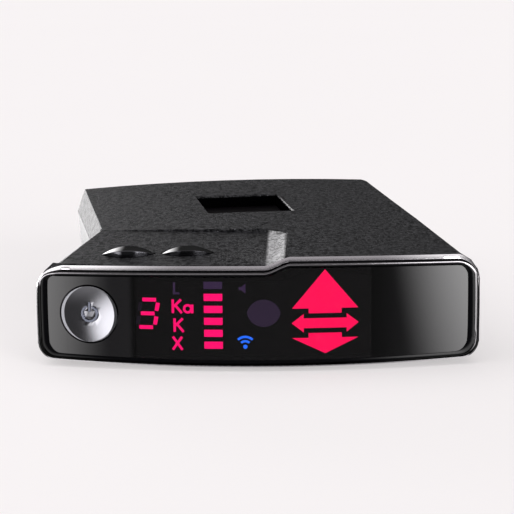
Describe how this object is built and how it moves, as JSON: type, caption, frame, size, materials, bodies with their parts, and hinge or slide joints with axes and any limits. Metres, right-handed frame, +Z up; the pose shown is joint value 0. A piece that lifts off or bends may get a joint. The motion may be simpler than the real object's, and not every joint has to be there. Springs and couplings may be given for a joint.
{
  "type": "windshield radar detector",
  "caption": "Windshield radar detector: flat die-cast case, bowed lit display head turned to the driver, round power key, crescent volume keys, horn antennas, side sockets and bracket slot.",
  "frame": {"origin": "middle of the outer box in plan, on the surface that the case rests on", "axes": "+X to the driver's right, +Y to the windshield along the antennas, +Z up"},
  "size_m": [0.089, 0.1166, 0.0235],
  "materials": {
    "die_cast": "fine-grained dark powder coat",
    "case_plastic": "fine texture",
    "gloss_bezel": "polished piano black",
    "smoked_lens": "smoked, polished",
    "guide_black": "black, light-tight",
    "red_light": "lit red light pipe",
    "unlit_light": "unlit light pipe",
    "blue_light": "lit blue light pipe",
    "sensor_tint": "infrared-passing",
    "key_metal": "dark chrome",
    "symbol": "polished",
    "inner_plastic": "plain",
    "switch_body": "plain",
    "plunger": "plain",
    "board": "solder mask",
    "led_chip": "clear epoxy",
    "flex": "polyimide film",
    "connector": "plain",
    "chip": "moulded epoxy",
    "can": "tin plate",
    "capacitor": "sleeved",
    "horn": "as cast",
    "radome": "radar-clear, satin",
    "laser_lens": "infrared-passing",
    "window": "infrared-passing, polished",
    "sensor": "epoxy",
    "cone": "paper cone",
    "magnet": "plated",
    "jack_plastic": "moulded",
    "contact": "gold flash",
    "spring_steel": "spring temper",
    "screw": "zinc plated",
    "label": "blank, satin"
  },
  "bodies": {
    "case": {"top_cover": "die_cast", "bottom_cover": "case_plastic", "front_bezel": "gloss_bezel", "display_lens": "smoked_lens", "light_guide_block": "guide_black", "digit_segments": "red_light", "laser_legend": "unlit_light", "band_legends": "red_light", "strength_bars": "red_light", "front_arrow": "red_light", "side_arrow": "red_light", "rear_arrow": "red_light", "mute_indicator": "unlit_light", "wireless_indicator": "blue_light", "light_sensor": "sensor_tint", "button_guide": "inner_plastic", "power_switch": "switch_body", "volume_switches": "switch_body", "key_board": "board", "display_board": "board", "display_leds": "led_chip", "display_ribbon": "flex", "ribbon_connector": "connector", "main_board": "board", "processor": "chip", "wireless_module": "can", "capacitors": "capacitor", "front_horn": "horn", "rear_horn": "horn", "mixer_board": "board", "shield_can": "can", "front_radome": "radome", "front_laser_lens": "laser_lens", "front_laser_sensor": "sensor", "rear_laser_window": "window", "rear_laser_sensor": "sensor", "speaker_frame": "inner_plastic", "speaker_cone": "cone", "speaker_magnet": "magnet", "power_jack": "jack_plastic", "accessory_jack": "jack_plastic", "jack_contacts": "contact", "earphone_jack": "jack_plastic", "mount_sleeve": "inner_plastic", "mount_spring": "spring_steel", "cover_screws": "screw", "board_screws": "screw", "label_plate": "label"},
    "power_key": {"power_button": "key_metal", "power_symbol": "symbol", "power_plunger": "plunger"},
    "volume_down_key": {"volume_down_button": "key_metal", "volume_down_plunger": "plunger"},
    "volume_up_key": {"volume_up_button": "key_metal", "volume_up_plunger": "plunger"}
  },
  "joints": [
    {"name": "power_press", "type": "slide", "parent": "case", "child": "power_key", "axis": [0.1822, 0.9833, 0], "range_m": [0, 0.0005], "stiffness_N_per_m": 1500},
    {"name": "volume_down_press", "type": "slide", "parent": "case", "child": "volume_down_key", "axis": [0, 0, -1], "range_m": [0, 0.0005], "stiffness_N_per_m": 1200},
    {"name": "volume_up_press", "type": "slide", "parent": "case", "child": "volume_up_key", "axis": [0, 0, -1], "range_m": [0, 0.0005], "stiffness_N_per_m": 1200}
  ]
}
